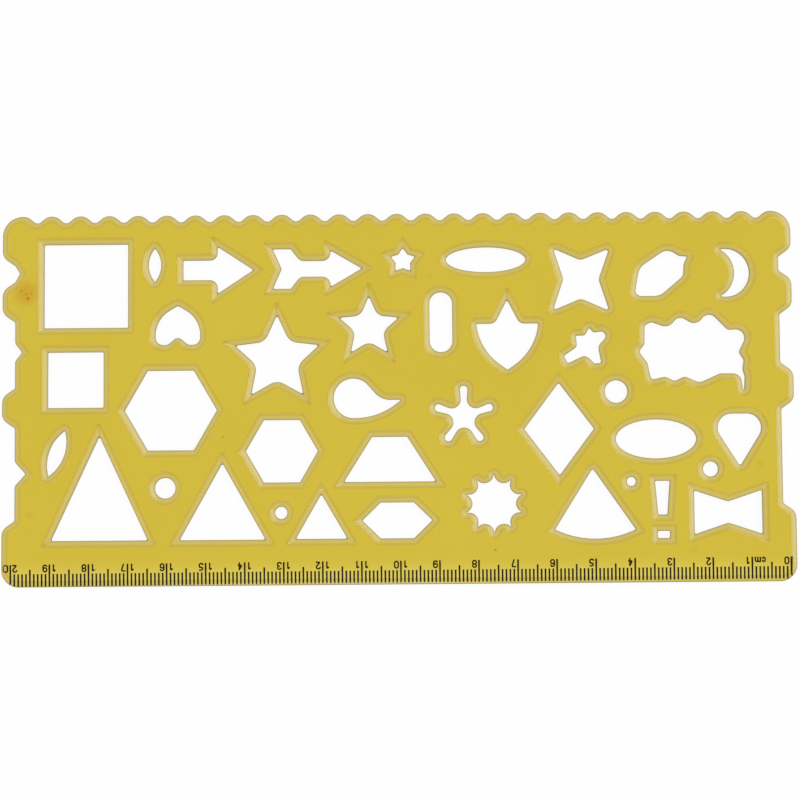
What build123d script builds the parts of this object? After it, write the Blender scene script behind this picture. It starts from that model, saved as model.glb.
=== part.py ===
from build123d import *
import math
import os

os.makedirs("parts", exist_ok=True)

# Frame: the plate lies flat, its bevelled reading side up. X runs along the ruler edge,
# the scalloped edge is at +Y and the ruler edge at -Y. The origin is the middle of the underside.

# Plate: one moulding of clear tinted plastic, thinned round its rim and round every cut-out
plate_length = 203.8
plate_height = 95.6
plate_thickness = 1.6
rim_thickness = 0.8
bevel_width = 1.6

# Ruler edge: a wider slope, so that the scale lies close to the paper
ruler_slope_width = 6.0
ruler_edge_thickness = 0.8
bottom_corner_radius = 4.5

# Scalloped edge
scallop_count = 27
scallop_flank_degrees = 40
crest_radius = 3.1
trough_radius = 1.4
top_corner_radius = 5.25

# Stepped ends: tabs that stand out, and V notches in the left end
tab_depth = 3.3
tab_ramp_height = 2.3
tab_corner_radius = 3.0
step_corner_radius = 0.8
notch_mouth_radius = 1.5
notch_root_radius = 0.3
lower_notch_width = 6.2
lower_notch_depth = 2.8
middle_notch_width = 4.6
middle_notch_depth = 1.75
upper_notch_depth = 1.15

# Straight-sided cut-outs
sharp_corner_radius = 0.3
big_square_side = 21.6
small_square_side = 14.3
large_hexagon_radius = 11.85
middle_hexagon_radius = 9.25
flat_hexagon_length = 17.9
flat_hexagon_height = 9.15
flat_hexagon_top = 8.5
large_triangle_base = 24.8
large_triangle_height = 26.75
middle_triangle_base = 22.0
middle_triangle_height = 19.6
small_triangle_base = 13.2
small_triangle_height = 11.4
diamond_width = 17.9
diamond_height = 23.8
trapezoid_base = 23.6
trapezoid_top = 9.0
trapezoid_height = 11.5
mark_top = 3.75
mark_foot = 2.35
mark_height = 8.6
mark_dot_length = 3.1
mark_dot_height = 1.8
bow_length = 17.4
bow_height = 11.2
bow_waist = 5.4
bow_waist_radius = 1.8
arrow_length = 18.1
arrow_head_length = 9.25
arrow_head_height = 12.2
arrow_shaft_height = 5.1
arrow_armpit_radius = 2.0
dart_length = 23.0
dart_head_length = 8.1
dart_head_height = 9.4
dart_shaft_height = 4.1
dart_tail_length = 4.6
dart_tail_height = 10.3
dart_tail_ramp = 2.4
dart_notch_depth = 2.3
dart_armpit_radius = 2.2

# Round and long cut-outs
large_hole_diameter = 5.8
middle_hole_diameter = 5.25
small_hole_diameter = 3.85
fine_hole_diameter = 3.1
finest_hole_diameter = 2.3
flat_ellipse_length = 20.5
flat_ellipse_height = 6.45
ellipse_length = 20.65
ellipse_height = 10.0
slot_width = 5.85
slot_height = 15.5
upright_lens_width = 3.25
upright_lens_length = 8.7
leaning_lens_width = 4.0
leaning_lens_length = 12.5
leaning_lens_degrees = 20

# Stars: reach of the tips, reach of the waist between them, rounding of the waist
big_star_tip = 11.35
big_star_waist = 5.45
big_star_waist_radius = 3.5
middle_star_tip = 8.05
middle_star_waist = 3.7
middle_star_waist_radius = 3.0
small_star_tip = 3.3
small_star_waist = 1.95
ray_star_tip = 7.85
ray_star_tip_radius = 0.1
ray_star_waist = 2.7
ray_star_waist_radius = 2.4
splash_reach = 7.8
splash_arm_width = 2.1
splash_arm_end_radius = 1.0
splash_waist = 0.8
splash_waist_radius = 2.36

# Crescent: an outer round and a larger inner round pushed to one side
crescent_outer_radius = 6.2
crescent_inner_radius = 6.9
crescent_shift = 4.55

# Free forms: their length and height between the corners of the sides that are drawn first
heart_length = 11.5
heart_height = 10.1
comma_length = 17.4
comma_height = 10.2
shield_length = 16.0
shield_height = 18.1
leaf_length = 13.8
leaf_height = 11.95
splat_length = 11.6
splat_height = 9.25
bubble_length = 28.1
bubble_height = 21.0
four_star_length = 14.8
four_star_height = 16.4
sector_length = 20.7
sector_height = 18.0
plectrum_length = 17.0
plectrum_height = 13.55

# Printed scale on the underside: every tenth tick is long, every fifth is half long
long_every = 10
half_every = 5
tick_pitch = 1.0
tick_width = 0.46
short_tick_length = 3.2
half_tick_length = 4.3
long_tick_length = 5.6
scale_edge_gap = 0.5
scale_end_gap = 1.5
scale_far_gap = 2.0
print_depth = 0.05
print_clearance = 0.01
print_edge_margin = 0.1
print_lean_degrees = 0.15

# Numerals and unit letters, drawn with one pen
numeral_height = 2.05
numeral_width = 1.3
numeral_shift = 1.15
letter_height = 1.4
letter_c_width = 1.0
letter_m_width = 1.65
letter_gap = 0.2
letter_start = 0.6
pen_width = 0.38
pen_inner_radius = 0.25

# Cuts run past the faces that they open by this much
overrun = 0.1
# No rounding is smaller than this
least_radius = 0.05
# Two roundings that come closer than this share their end
least_run = 0.002

half_length = plate_length / 2
half_height = plate_height / 2
bevel_depth = plate_thickness - rim_thickness


def fitted_corners(corners, radii):
    """Each corner's point, unit directions to its neighbours, half angle, fitted radius and bulge.

    A rounding is made smaller where its two sides are too short for it.
    """
    points = [Vector(x, y) for x, y in corners]
    count = len(points)
    backs = [(points[i - 1] - points[i]).normalized() for i in range(count)]
    aheads = [(points[(i + 1) % count] - points[i]).normalized() for i in range(count)]
    halves = [math.radians(backs[i].get_angle(aheads[i])) / 2 for i in range(count)]
    reaches = [radii[i] / math.tan(halves[i]) for i in range(count)]
    sides = [(points[(i + 1) % count] - points[i]).length for i in range(count)]
    fitted = []
    for i in range(count):
        before = reaches[i - 1] + reaches[i]
        after = reaches[i] + reaches[(i + 1) % count]
        fit = min(1, sides[i - 1] / before, sides[i] / after)
        bulges_out = backs[i].cross(aheads[i]).Z < 0
        fitted.append((points[i], backs[i], aheads[i], halves[i], radii[i] * fit, bulges_out))
    return fitted


def arc_ends(fitted, grow):
    """Start, middle and end of each rounding, with the whole outline moved outwards by grow."""
    arcs = []
    for point, back, ahead, half, radius, bulges_out in fitted:
        inward = (back + ahead).normalized()
        outward = grow if bulges_out else -grow
        radius = max(radius + outward, min(radius, least_radius))
        corner = point - inward * (outward / math.sin(half))
        reach = radius / math.tan(half)
        middle = corner + inward * (radius / math.sin(half) - radius)
        arcs.append((corner + back * reach, middle, corner + ahead * reach))
    return arcs


def outline(corners, radii, grow=0):
    """Closed face through the corners, counter-clockwise, each one rounded."""
    fitted = fitted_corners(corners, radii)
    drawn = arc_ends(fitted, 0)
    arcs = arc_ends(fitted, grow)
    count = len(arcs)
    runs = [(drawn[(i + 1) % count][0] - drawn[i][2]).length > least_run for i in range(count)]
    edges = []
    for i in range(count):
        start, middle, end = arcs[i]
        following = arcs[(i + 1) % count][0]
        if runs[i]:
            edges.append(ThreePointArc(start, middle, end))
            edges.append(Line(end, following))
        else:
            edges.append(ThreePointArc(start, middle, following))
    return make_face(edges)


def drawn_from(length, height, shares):
    """Corners and radii from shares: x of the length, y of the height, radius of the length."""
    corners = [(length * x, height * y) for x, y, radius in shares]
    radii = [length * radius for x, y, radius in shares]
    return corners, radii


def sharp(corners):
    """Corners that all have the small rounding of a sharp corner."""
    return corners, [sharp_corner_radius] * len(corners)


def box(length, height):
    return [(-length / 2, -height / 2), (length / 2, -height / 2),
            (length / 2, height / 2), (-length / 2, height / 2)]


def regular(radius, sides):
    """Corners of a regular form, the first one at +X."""
    return [(radius * math.cos(math.tau * i / sides), radius * math.sin(math.tau * i / sides))
            for i in range(sides)]


def triangle(base, height):
    return [(-base / 2, -height / 2), (base / 2, -height / 2), (0, height / 2)]


def star(tips, tip, waist, tip_radius, waist_radius):
    """A star with its first tip at +Y."""
    corners = []
    radii = []
    for i in range(tips):
        tip_angle = math.pi / 2 + math.tau * i / tips
        waist_angle = tip_angle + math.pi / tips
        corners.append((tip * math.cos(tip_angle), tip * math.sin(tip_angle)))
        corners.append((waist * math.cos(waist_angle), waist * math.sin(waist_angle)))
        radii += [tip_radius, waist_radius]
    return corners, radii


def splash():
    """Five arms with round ends, and round bays between them."""
    arms = 5
    corners = []
    radii = []
    for i in range(arms):
        along = math.pi / 2 + math.tau * i / arms
        bay = along - math.pi / arms
        corners.append((splash_waist * math.cos(bay), splash_waist * math.sin(bay)))
        for side in (-1, 1):
            across = side * splash_arm_width / 2
            corners.append((splash_reach * math.cos(along) - across * math.sin(along),
                            splash_reach * math.sin(along) + across * math.cos(along)))
        radii += [splash_waist_radius, splash_arm_end_radius, splash_arm_end_radius]
    return corners, radii


def round_run(centre_x, radius, start_degrees, end_degrees):
    """Corners, each with the same radius, whose roundings follow one round about a centre on X."""
    pieces = 3
    step = math.radians(end_degrees - start_degrees) / pieces
    reach = radius / math.cos(step / 2)
    angles = [math.radians(start_degrees) + step * (i + 0.5) for i in range(pieces)]
    corners = [(centre_x + reach * math.cos(angle), reach * math.sin(angle)) for angle in angles]
    return corners, [radius] * pieces


def crescent():
    """The outer round run upwards, then the inner round back down to the lower horn."""
    horn_x = (crescent_outer_radius ** 2 - crescent_inner_radius ** 2 + crescent_shift ** 2) / (
        -2 * crescent_shift)
    horn_y = math.sqrt(crescent_outer_radius ** 2 - horn_x ** 2)
    outer_end = math.degrees(math.atan2(horn_y, horn_x))
    inner_end = math.degrees(math.atan2(horn_y, horn_x + crescent_shift))
    outer, outer_radii = round_run(0, crescent_outer_radius, -outer_end, outer_end)
    inner, inner_radii = round_run(-crescent_shift, crescent_inner_radius, inner_end, -inner_end)
    corners = [(horn_x, -horn_y)] + outer + [(horn_x, horn_y)] + inner
    radii = [least_radius] + outer_radii + [least_radius] + inner_radii
    return corners, radii


def lens(width, length, degrees):
    """Two equal rounds that meet in a point at each end, leaning by an angle."""
    lean = math.radians(degrees)
    upright = [(0, -length / 2), (width, 0), (0, length / 2), (-width, 0)]
    corners = [(x * math.cos(lean) + y * math.sin(lean), y * math.cos(lean) - x * math.sin(lean))
               for x, y in upright]
    side_radius = (width ** 2 + length ** 2) / (4 * width)
    return corners, [least_radius, side_radius, least_radius, side_radius]


def slot():
    return box(slot_width, slot_height), [slot_width / 2] * 4


def flat_hexagon():
    return sharp([(-flat_hexagon_length / 2, 0),
                  (-flat_hexagon_top / 2, -flat_hexagon_height / 2),
                  (flat_hexagon_top / 2, -flat_hexagon_height / 2),
                  (flat_hexagon_length / 2, 0),
                  (flat_hexagon_top / 2, flat_hexagon_height / 2),
                  (-flat_hexagon_top / 2, flat_hexagon_height / 2)])


def diamond():
    return sharp([(-diamond_width / 2, 0), (0, -diamond_height / 2),
                  (diamond_width / 2, 0), (0, diamond_height / 2)])


def tapering_box(foot, top, height):
    return sharp([(-foot / 2, -height / 2), (foot / 2, -height / 2),
                  (top / 2, height / 2), (-top / 2, height / 2)])


def bow():
    corners = [(-bow_length / 2, -bow_height / 2), (0, -bow_waist / 2),
               (bow_length / 2, -bow_height / 2), (bow_length / 2, bow_height / 2),
               (0, bow_waist / 2), (-bow_length / 2, bow_height / 2)]
    radii = [sharp_corner_radius, bow_waist_radius, sharp_corner_radius] * 2
    return corners, radii


def arrow():
    tip = arrow_length / 2
    neck = tip - arrow_head_length
    head = arrow_head_height / 2
    shaft = arrow_shaft_height / 2
    corners = [(-tip, -shaft), (neck, -shaft), (neck, -head), (tip, 0),
               (neck, head), (neck, shaft), (-tip, shaft)]
    radii = [sharp_corner_radius] * len(corners)
    radii[1] = radii[5] = arrow_armpit_radius
    return corners, radii


def dart():
    """The arrow with a notched tail."""
    tip = dart_length / 2
    neck = tip - dart_head_length
    head = dart_head_height / 2
    shaft = dart_shaft_height / 2
    tail = dart_tail_height / 2
    tail_front = dart_tail_length - tip
    corners = [(dart_notch_depth - tip, 0), (-tip, -tail), (tail_front, -tail),
               (tail_front + dart_tail_ramp, -shaft), (neck, -shaft), (neck, -head), (tip, 0),
               (neck, head), (neck, shaft), (tail_front + dart_tail_ramp, shaft),
               (tail_front, tail), (-tip, tail)]
    radii = [sharp_corner_radius] * len(corners)
    radii[3] = radii[4] = radii[8] = radii[9] = dart_armpit_radius
    return corners, radii


heart_shares = (
    (0, 0.5, 0.05), (-0.5, 0.17, 0.64), (-0.5, -0.5, 0.17), (-0.235, -0.5, 0.15),
    (0, -0.28, 0.13), (0.235, -0.5, 0.15), (0.5, -0.5, 0.17), (0.5, 0.17, 0.64))
comma_shares = (
    (0.5, -0.044, 0.01), (0.199, -0.049, 0.305), (-0.08, 0.5, 0.293),
    (-0.5, 0.5, 0.293), (-0.5, -0.5, 0.293), (0.161, -0.5, 0.98))
shield_shares = (
    (0, 0.5, 0.02), (-0.2, 0.157, 0.13), (-0.5, 0.157, 0.025), (-0.446, -0.236, 0.97),
    (0, -0.5, 0.025), (0.446, -0.236, 0.97), (0.5, 0.157, 0.025), (0.2, 0.157, 0.13))
leaf_shares = (
    (0.5, 0.356, 0.015), (0.357, 0.364, 0.11), (0.13, 0.53, 0.22), (-0.4, 0.12, 0.3),
    (-0.5, -0.5, 0.11), (-0.02, -0.498, 0.29), (0.418, -0.067, 0.145), (0.436, 0.209, 0.11))
splat_shares = (
    (0.6, 0.44, 0.1), (0.168, 0.36, 0.09), (0.073, 0.5, 0.017), (-0.022, 0.284, 0.07),
    (-0.224, 0.278, 0.017), (-0.203, -0.035, 0.1), (-0.5, -0.289, 0.05), (-0.41, -0.495, 0.05),
    (-0.013, -0.257, 0.155), (0.177, -0.5, 0.043), (0.336, -0.495, 0.05), (0.263, -0.019, 0.17))
bubble_shares = (
    (0.457, -0.56, 0.007), (0.468, -0.31, 0.09), (0.447, -0.214, 0.09), (0.463, -0.105, 0.046),
    (0.415, -0.01, 0.046), (0.525, 0.284, 0.078), (0.322, 0.264, 0.057), (0.148, 0.5, 0.075),
    (0.03, 0.324, 0.085), (-0.126, 0.443, 0.068), (-0.226, 0.295, 0.093), (-0.383, 0.371, 0.053),
    (-0.443, 0.325, 0.036), (-0.447, 0.095, 0.036), (-0.5, 0.005, 0.036), (-0.422, -0.133, 0.053),
    (-0.39, -0.343, 0.032), (-0.262, -0.302, 0.071), (-0.176, -0.36, 0.046), (-0.084, -0.3, 0.064),
    (0.052, -0.383, 0.09), (0.24, -0.269, 0.09), (0.429, -0.271, 0.078))
four_star_shares = (
    (0.5, 0.487, 0.03), (0, 0.305, 0.17), (-0.48, 0.5, 0.03), (-0.304, 0.01, 0.17),
    (-0.49, -0.484, 0.03), (0, -0.3, 0.17), (0.49, -0.5, 0.03), (0.31, 0, 0.17))
sector_shares = (
    (-0.025, 0.5, 0.02), (-0.5, -0.367, 0.015), (0, -0.635, 1.18), (0.5, -0.373, 0.015))
plectrum_shares = (
    (-0.5, 0.5, 0.212), (0, -0.5, 0.03), (0.5, 0.5, 0.212))

# Every cornered cut-out: its corners with their radii, and its place in shares of the plate
cut_outs = {
    "big_square": (sharp(box(big_square_side, big_square_side)), (-0.394, 0.309)),
    "small_square": (sharp(box(small_square_side, small_square_side)), (-0.407, 0.055)),
    "large_hexagon": (sharp(regular(large_hexagon_radius, 6)), (-0.287, -0.029)),
    "middle_hexagon": (sharp(regular(middle_hexagon_radius, 6)), (-0.147, -0.141)),
    "flat_hexagon": (flat_hexagon(), (-0.002, -0.329)),
    "large_triangle": (sharp(triangle(large_triangle_base, large_triangle_height)),
                       (-0.377, -0.237)),
    "middle_triangle": (sharp(triangle(middle_triangle_base, middle_triangle_height)),
                        (-0.222, -0.275)),
    "small_triangle": (sharp(triangle(small_triangle_base, small_triangle_height)),
                       (-0.0975, -0.317)),
    "diamond": (diamond(), (0.203, -0.087)),
    "trapezoid": (tapering_box(trapezoid_base, trapezoid_top, trapezoid_height),
                  (-0.011, -0.165)),
    "mark_bar": (tapering_box(mark_foot, mark_top, mark_height), (0.332, -0.274)),
    "mark_dot": (sharp(box(mark_dot_length, mark_dot_height)), (0.333, -0.3725)),
    "bow": (bow(), (0.4145, -0.314)),
    "arrow": (arrow(), (-0.2265, 0.35)),
    "dart": (dart(), (-0.101, 0.352)),
    "slot": (slot(), (0.055, 0.204)),
    "upright_lens": (lens(upright_lens_width, upright_lens_length, 0), (-0.307, 0.365)),
    "leaning_lens": (lens(leaning_lens_width, leaning_lens_length, leaning_lens_degrees),
                     (-0.431, -0.143)),
    "crescent": (crescent(), (0.416, 0.332)),
    "big_star": (star(5, big_star_tip, big_star_waist, sharp_corner_radius,
                      big_star_waist_radius), (-0.1525, 0.108)),
    "middle_star": (star(5, middle_star_tip, middle_star_waist, sharp_corner_radius,
                         middle_star_waist_radius), (-0.036, 0.192)),
    "small_star": (star(5, small_star_tip, small_star_waist, sharp_corner_radius,
                        sharp_corner_radius), (0.0075, 0.3725)),
    "ray_star": (star(10, ray_star_tip, ray_star_waist, ray_star_tip_radius,
                      ray_star_waist_radius), (0.12, -0.286)),
    "splash": (splash(), (0.083, -0.05)),
    "heart": (drawn_from(heart_length, heart_height, heart_shares), (-0.278, 0.201)),
    "comma": (drawn_from(comma_length, comma_height, comma_shares), (-0.0385, 0)),
    "shield": (drawn_from(shield_length, shield_height, shield_shares), (0.139, 0.169)),
    "leaf": (drawn_from(leaf_length, leaf_height, leaf_shares), (0.3345, 0.333)),
    "splat": (drawn_from(splat_length, splat_height, splat_shares), (0.2385, 0.1375)),
    "bubble": (drawn_from(bubble_length, bubble_height, bubble_shares), (0.374, 0.1185)),
    "four_star": (drawn_from(four_star_length, four_star_height, four_star_shares),
                  (0.233, 0.317)),
    "sector": (drawn_from(sector_length, sector_height, sector_shares), (0.247, -0.288)),
    "plectrum": (drawn_from(plectrum_length, plectrum_height, plectrum_shares),
                 (0.4305, -0.1205)),
}

# Every round cut-out: its diameter, and its place in shares of the plate
rounds = {
    "large_hole": (large_hole_diameter, (0.2755, 0.0125)),
    "middle_hole": (middle_hole_diameter, (-0.294, -0.238)),
    "small_hole": (small_hole_diameter, (0.393, -0.198)),
    "fine_hole": (fine_hole_diameter, (-0.148, -0.3065)),
    "finest_hole": (finest_hole_diameter, (0.293, -0.23)),
}

# Every oval cut-out: its length and height, and its place in shares of the plate
ovals = {
    "flat_ellipse": (flat_ellipse_length, flat_ellipse_height, (0.1125, 0.373)),
    "ellipse": (ellipse_length, ellipse_height, (0.325, -0.116)),
}

# Levels of the tabs' outer corners on the two ends, in shares of the plate's height
left_tab_shares = ((-0.347, 1), (-0.05, -1), (0.01, 1), (0.236, -1), (0.298, 1), (0.389, -1))
right_tab_shares = ((-0.315, 1), (-0.014, -1), (0.063, 1), (0.242, -1), (0.313, 1), (0.399, -1))
lower_notch_share = -0.197
middle_notch_share = 0.131
upper_notch_share = 0.345


def tab_corners(side, level_shares):
    """The two corners of each tab's ramp, going up. Direction 1 is a tab's top, -1 its foot."""
    corners = []
    for share, direction in level_shares:
        level = plate_height * share
        outer = (side * half_length, level, tab_corner_radius)
        inner = (side * (half_length - tab_depth), level + direction * tab_ramp_height,
                 step_corner_radius)
        corners += [outer, inner] if direction > 0 else [inner, outer]
    return corners


def notch_corners(level_share, width, depth):
    """Mouth, root and mouth of a V notch in the left end, going up."""
    level = plate_height * level_share
    mouth = tab_depth - half_length
    return [(mouth, level - width / 2, notch_mouth_radius), (mouth + depth, level, notch_root_radius),
            (mouth, level + width / 2, notch_mouth_radius)]


def scallop_corners():
    """The wavy edge from right to left: roots and crests of the straight flanks."""
    flank = math.radians(scallop_flank_degrees)
    span = plate_length - 2 * top_corner_radius
    half_pitch = span / (scallop_count - 1) / 2
    crest_level = half_height + crest_radius * (1 / math.cos(flank) - 1)
    trough_level = crest_level - half_pitch * math.tan(flank)
    end_shift = crest_radius * math.tan(flank / 2)
    corners = [(span / 2 - end_shift, half_height, crest_radius)]
    for i in range(1, 2 * scallop_count - 2):
        x = span / 2 - half_pitch * i
        if i % 2:
            corners.append((x, trough_level, trough_radius))
        else:
            corners.append((x, crest_level, crest_radius))
    corners.append((end_shift - span / 2, half_height, crest_radius))
    return corners


def rim_corners():
    """The plate's outline, counter-clockwise from its lower left corner.

    The upper notch takes up the whole step between two tabs, so it has a root only.
    """
    left = tab_corners(-1, left_tab_shares)
    left[2:2] = notch_corners(lower_notch_share, lower_notch_width, lower_notch_depth)
    left[9:9] = notch_corners(middle_notch_share, middle_notch_width, middle_notch_depth)
    left.insert(16, (tab_depth + upper_notch_depth - half_length,
                     plate_height * upper_notch_share, notch_root_radius))
    rim = [(-half_length, -half_height, bottom_corner_radius),
           (half_length, -half_height, bottom_corner_radius)]
    rim += tab_corners(1, right_tab_shares)
    rim.append((half_length, half_height, top_corner_radius))
    rim += scallop_corners()
    rim.append((-half_length, half_height, top_corner_radius))
    rim += left[::-1]
    corners = [(x, y) for x, y, radius in rim]
    radii = [radius for x, y, radius in rim]
    return corners, radii


def sloped(low, high, low_level, high_level):
    """A solid whose sides run straight from one outline to another."""
    return loft([Pos(0, 0, low_level) * low, Pos(0, 0, high_level) * high], ruled=True)


def opening_tool(narrow, wide, place_shares):
    """The straight hole with the slope round it, at its place in the plate."""
    x_share, y_share = place_shares
    place = Pos(plate_length * x_share, plate_height * y_share)
    hole = extrude(Pos(0, 0, -overrun) * narrow, amount=plate_thickness + 2 * overrun)
    slope = sloped(narrow, wide, rim_thickness, plate_thickness + overrun)
    return place * (hole + slope)


def pressed_plate():
    """The bare plate with its slopes and cut-outs."""
    corners, radii = rim_corners()
    rim = outline(corners, radii)
    crease = outline(corners, radii, -bevel_width)
    plate = extrude(rim, amount=rim_thickness)
    plate += sloped(rim, crease, rim_thickness, plate_thickness)
    extra_rise = (plate_thickness - ruler_edge_thickness) * overrun / ruler_slope_width
    front = -half_height - overrun
    back = -half_height + ruler_slope_width + overrun
    top = plate_thickness + extra_rise
    wedge = Polyline((0, front, ruler_edge_thickness - extra_rise), (0, back, top), (0, front, top),
                     close=True)
    wedge = Pos(-half_length - overrun, 0, 0) * make_face(wedge)
    plate -= extrude(wedge, amount=plate_length + 2 * overrun, dir=(1, 0, 0))
    top_grow = bevel_width * (bevel_depth + overrun) / bevel_depth
    for (corners, radii), place_shares in cut_outs.values():
        plate -= opening_tool(outline(corners, radii), outline(corners, radii, top_grow),
                              place_shares)
    for diameter, place_shares in rounds.values():
        plate -= opening_tool(Circle(diameter / 2), Circle(diameter / 2 + top_grow), place_shares)
    for length, height, place_shares in ovals.values():
        plate -= opening_tool(Ellipse(length / 2, height / 2),
                              Ellipse(length / 2 + top_grow, height / 2 + top_grow),
                              place_shares)
    return plate


# Pen strokes of each character: x in shares of its width, y in shares of its height
stroke_shares = {
    "1": [[(-0.3, 0.78), (0.12, 1), (0.12, 0)]],
    "2": [[(-0.5, 0.8), (-0.5, 1), (0.5, 1), (0.5, 0.6), (-0.5, 0), (0.5, 0)]],
    "3": [[(-0.5, 0.86), (-0.5, 1), (0.45, 1), (0.45, 0.53), (0, 0.53)],
          [(0.1, 0.53), (0.5, 0.53), (0.5, 0), (-0.5, 0), (-0.5, 0.14)]],
    "4": [[(0.25, 0), (0.25, 1)], [(0.2, 0.95), (-0.5, 0.3), (0.5, 0.3)]],
    "5": [[(0.4, 1), (-0.36, 1), (-0.44, 0.56), (0.5, 0.62), (0.5, 0), (-0.5, 0), (-0.5, 0.14)]],
    "6": [[(0.5, 0.86), (0.5, 1), (-0.5, 1), (-0.5, 0.3)]],
    "7": [[(-0.5, 1), (0.5, 1), (-0.1, 0)]],
    "8": [],
    "9": [[(-0.5, 0.14), (-0.5, 0), (0.5, 0), (0.5, 0.7)]],
    "0": [],
    "c": [[(0.5, 0.8), (0.5, 1), (-0.5, 1), (-0.5, 0), (0.5, 0), (0.5, 0.2)]],
    "m": [[(-0.5, 0), (-0.5, 1)], [(-0.4, 1), (0, 1), (0, 0)], [(0.1, 1), (0.5, 1), (0.5, 0)]],
}
# Closed rings of each character: their low and high level in shares of its height
ring_shares = {"0": [(0, 1)], "6": [(0, 0.6)], "8": [(0, 0.53), (0.53, 1)], "9": [(0.4, 1)]}


def pen_stroke(points):
    """A run of even width through the points, with square ends and rounded bends."""
    points = [Vector(x, y) for x, y in points]
    half_pen = pen_width / 2
    last = len(points) - 1
    right = []
    left = []
    for i in range(len(points)):
        before = max(i, 1)
        after = min(i, last - 1)
        back = (points[before - 1] - points[before]).normalized()
        ahead = (points[after + 1] - points[after]).normalized()
        bend = back.cross(ahead).Z
        if i in (0, last):
            side = Vector(ahead.Y, -ahead.X) * half_pen
            beyond = (back if i == 0 else ahead) * half_pen
            inner = outer = least_radius
        else:
            half = math.radians(back.get_angle(ahead)) / 2
            side = (back + ahead).normalized() * (math.copysign(half_pen, bend) / math.sin(half))
            beyond = Vector(0, 0)
            ease = 1 - max(back.dot(ahead), 0)
            inner = max(pen_inner_radius * ease, least_radius)
            outer = (pen_inner_radius + half_pen) * ease + half_pen
        corner = points[i] + beyond + side
        right.append((corner.X, corner.Y, inner if bend > 0 else outer))
        corner = points[i] + beyond - side
        left.append((corner.X, corner.Y, outer if bend > 0 else inner))
    corners = right + left[::-1]
    return outline([(x, y) for x, y, radius in corners], [radius for x, y, radius in corners])


def pen_ring(width, low, high):
    """A closed ring of even width between two levels."""
    corners = [(x, y + (low + high) / 2) for x, y in box(width, high - low)]
    middle_radius = min(width, high - low) / 2
    outer = outline(corners, [middle_radius] * 4, pen_width / 2)
    inner = outline(corners, [middle_radius] * 4, -pen_width / 2)
    return outer - inner


def character(text, width, height):
    """One character that stands on y = 0, as wide and high as the outside of its strokes."""
    core_width = width - pen_width
    core_height = height - pen_width
    shapes = Sketch()
    for stroke in stroke_shares[text]:
        shapes += pen_stroke([(core_width * x, core_height * y) for x, y in stroke])
    for low, high in ring_shares.get(text, []):
        shapes += pen_ring(core_width, core_height * low, core_height * high)
    return Pos(0, pen_width / 2) * shapes


def foot_lift(x):
    """How far a tick at x is cut short at its foot, to stay inside the plate's rounded corners."""
    beyond = abs(x) + tick_width / 2 + print_edge_margin - (half_length - bottom_corner_radius)
    beyond = min(max(beyond, 0), bottom_corner_radius)
    corner_rise = bottom_corner_radius - math.sqrt(bottom_corner_radius ** 2 - beyond ** 2)
    foot = scale_edge_gap + x * math.sin(math.radians(print_lean_degrees))
    return max(0, corner_rise + print_edge_margin - foot)


def tick(length, lift):
    """One tick that stands on the scale's base line, its foot left out by lift."""
    return Pos(0, (length + lift) / 2) * Rectangle(tick_width, length - lift)


# The scale reads the right way up from the other side of the table, so it is drawn turned round
scale_room = plate_length - scale_end_gap - scale_far_gap
tick_count = int(scale_room / tick_pitch) + 1
zero_x = half_length - scale_end_gap
middle_x = zero_x - (tick_count - 1) * tick_pitch / 2
scale_place = Pos(middle_x, scale_edge_gap - half_height) * Rot(0, 0, print_lean_degrees)
marks = {"millimetre_ticks": [], "half_centimetre_ticks": [], "centimetre_ticks": [],
         "scale_numerals": [], "unit_letters": []}
for i in range(tick_count):
    place = scale_place * Pos(zero_x - middle_x - i * tick_pitch)
    lift = foot_lift(zero_x - i * tick_pitch)
    if i % long_every == 0:
        marks["centimetre_ticks"].append(place * tick(long_tick_length, lift))
    elif i % half_every == 0:
        marks["half_centimetre_ticks"].append(place * tick(half_tick_length, lift))
    else:
        marks["millimetre_ticks"].append(place * tick(short_tick_length, lift))

# Each number stands on the level of its tick's end, split round the tick when it has two digits
for i in range(0, tick_count, long_every):
    number = str(i // long_every)
    sides = (1, -1)[-len(number):]
    for digit, side in zip(number, sides):
        place = scale_place * Pos(zero_x - middle_x - i * tick_pitch + side * numeral_shift,
                                  long_tick_length) * Rot(0, 0, 180)
        marks["scale_numerals"].append(place * character(digit, numeral_width, numeral_height))

# The unit stands beside the first centimetre, on the side of the zero
m_x = zero_x - middle_x - long_every * tick_pitch + letter_start + letter_m_width / 2
c_x = m_x + (letter_m_width + letter_c_width) / 2 + letter_gap
for letter, width, x in (("c", letter_c_width, c_x), ("m", letter_m_width, m_x)):
    place = scale_place * Pos(x, long_tick_length) * Rot(0, 0, 180)
    marks["unit_letters"].append(place * character(letter, width, letter_height))

# The print fills shallow recesses in the underside and ends level with it
recesses = []
for name, shapes in marks.items():
    print_layer = []
    for shape in shapes:
        print_layer += extrude(shape, amount=print_depth - print_clearance, dir=(0, 0, 1)).solids()
        recess = Pos(0, 0, -overrun) * offset(shape, amount=print_clearance)
        recesses.append(extrude(recess, amount=print_depth + overrun, dir=(0, 0, 1)))
    export_step(Compound(children=print_layer), f"parts/{name}.step")

stencil_plate = pressed_plate() - recesses
export_step(stencil_plate, "parts/stencil_plate.step")
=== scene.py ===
# %% [markdown]
# # A drawing stencil of tinted plastic
# The object is one thin clear plate, moulded in yellow plastic, with forty cut-outs to draw round and a
# ruler along one edge. A black scale is printed on its underside.

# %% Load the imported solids
import bmesh
import bpy
import math
from mathutils import Matrix, Vector, geometry


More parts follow.
